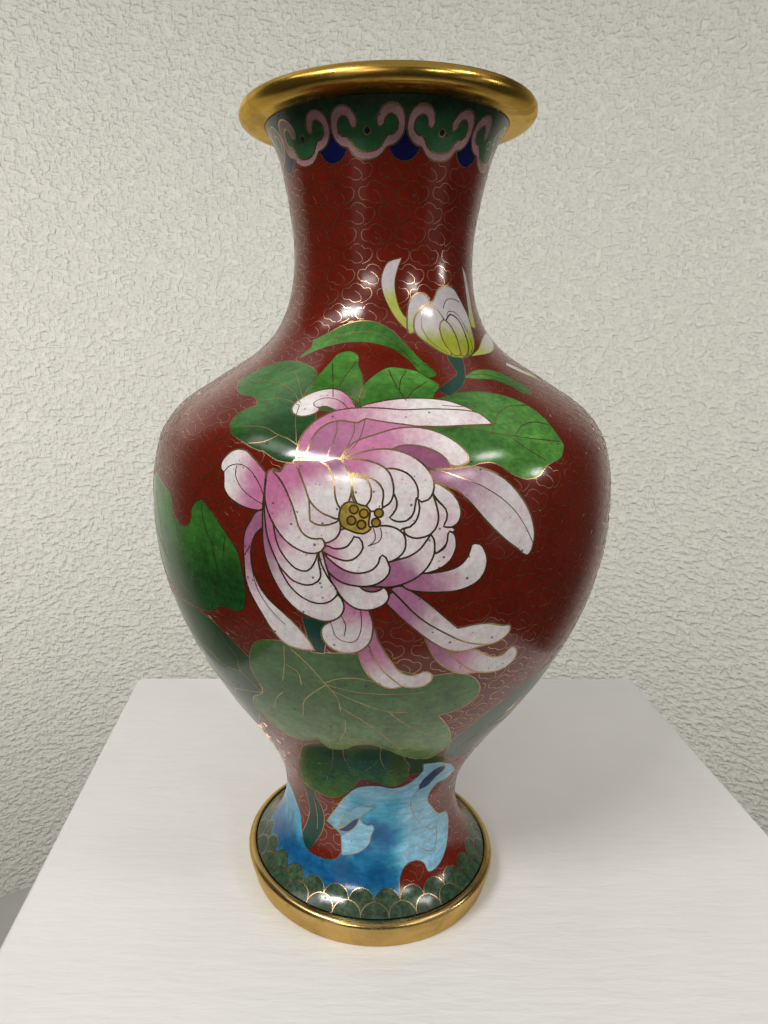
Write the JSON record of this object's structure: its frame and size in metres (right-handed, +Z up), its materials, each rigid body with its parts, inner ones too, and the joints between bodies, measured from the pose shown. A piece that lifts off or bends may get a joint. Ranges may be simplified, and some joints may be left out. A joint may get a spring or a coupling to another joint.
{
  "type": "cloisonne vase",
  "caption": "Baluster-shaped cloisonne enamel vase with a chrysanthemum spray on a red ground, ruyi collar, scale border and gilt rings at rim and foot.",
  "frame": {"origin": "centre of the foot ring's underside, on the ground plane", "axes": "+Z up along the vase's axis; -Y is the painted front; +X is the viewer's right"},
  "size_m": [0.1474, 0.1474, 0.26],
  "materials": {
    "copper": "hammered copper, hidden under the enamel",
    "enamel_blue": "glossy shaded enamel",
    "enamel_bud_yellow": "glossy shaded enamel",
    "enamel_collar_green": "glossy enamel",
    "enamel_leaf_dark": "glossy shaded enamel",
    "enamel_leaf_green": "glossy shaded enamel",
    "enamel_mauve": "glossy enamel",
    "enamel_navy": "glossy enamel",
    "enamel_ochre": "glossy enamel",
    "enamel_petal": "glossy enamel, white shading to mauve",
    "enamel_red": "glossy polished enamel",
    "enamel_scale_green": "glossy speckled enamel",
    "enamel_teal": "glossy enamel",
    "enamel_turquoise": "plain glossy counter-enamel",
    "enamel_white": "glossy enamel with small pits",
    "gilt_brass": "worn polished gilding"
  },
  "bodies": {
    "root": {"base_counter_enamel": "enamel_turquoise", "copper_base_plate": "copper", "copper_foot_skirt": "copper", "copper_lower_body": "copper", "copper_neck": "copper", "copper_upper_body": "copper", "enamel_bud": "enamel_bud_yellow", "enamel_bud_petal_left": "enamel_white", "enamel_bud_petal_low": "enamel_white", "enamel_bud_petal_right": "enamel_white", "enamel_bud_stem": "enamel_teal", "enamel_chrysanthemum": "enamel_petal", "enamel_collar_ground": "enamel_collar_green", "enamel_flower_centre": "enamel_ochre", "enamel_ground_red": "enamel_red", "enamel_leaf_arching": "enamel_leaf_green", "enamel_leaf_cluster_left": "enamel_leaf_green", "enamel_leaf_large_low": "enamel_leaf_green", "enamel_leaf_left_dark": "enamel_leaf_dark", "enamel_leaf_left_side": "enamel_leaf_green", "enamel_leaf_low_left": "enamel_leaf_dark", "enamel_leaf_low_middle": "enamel_leaf_dark", "enamel_leaf_low_right": "enamel_leaf_dark", "enamel_leaf_right_large": "enamel_leaf_green", "enamel_leaf_right_small": "enamel_leaf_green", "enamel_leaf_upper_middle": "enamel_leaf_green", "enamel_leaf_upper_small": "enamel_leaf_green", "enamel_navy_lobe_01": "enamel_navy", "enamel_navy_lobe_02": "enamel_navy", "enamel_navy_lobe_03": "enamel_navy", "enamel_navy_lobe_04": "enamel_navy", "enamel_navy_lobe_05": "enamel_navy", "enamel_navy_lobe_06": "enamel_navy", "enamel_navy_lobe_07": "enamel_navy", "enamel_navy_lobe_08": "enamel_navy", "enamel_navy_lobe_09": "enamel_navy", "enamel_navy_lobe_10": "enamel_navy", "enamel_pocket_by_stem": "enamel_red", "enamel_rock": "enamel_blue", "enamel_ruyi_head_01": "enamel_mauve", "enamel_ruyi_head_02": "enamel_mauve", "enamel_ruyi_head_03": "enamel_mauve", "enamel_ruyi_head_04": "enamel_mauve", "enamel_ruyi_head_05": "enamel_mauve", "enamel_ruyi_head_06": "enamel_mauve", "enamel_ruyi_head_07": "enamel_mauve", "enamel_ruyi_head_08": "enamel_mauve", "enamel_ruyi_head_09": "enamel_mauve", "enamel_ruyi_head_10": "enamel_mauve", "enamel_scale_border": "enamel_scale_green", "enamel_stem_low": "enamel_leaf_dark", "gilt_foot_ring": "gilt_brass", "gilt_rim_ring": "gilt_brass", "lining_base": "enamel_turquoise", "lining_body": "enamel_turquoise", "lining_neck": "enamel_turquoise"}
  },
  "joints": []
}
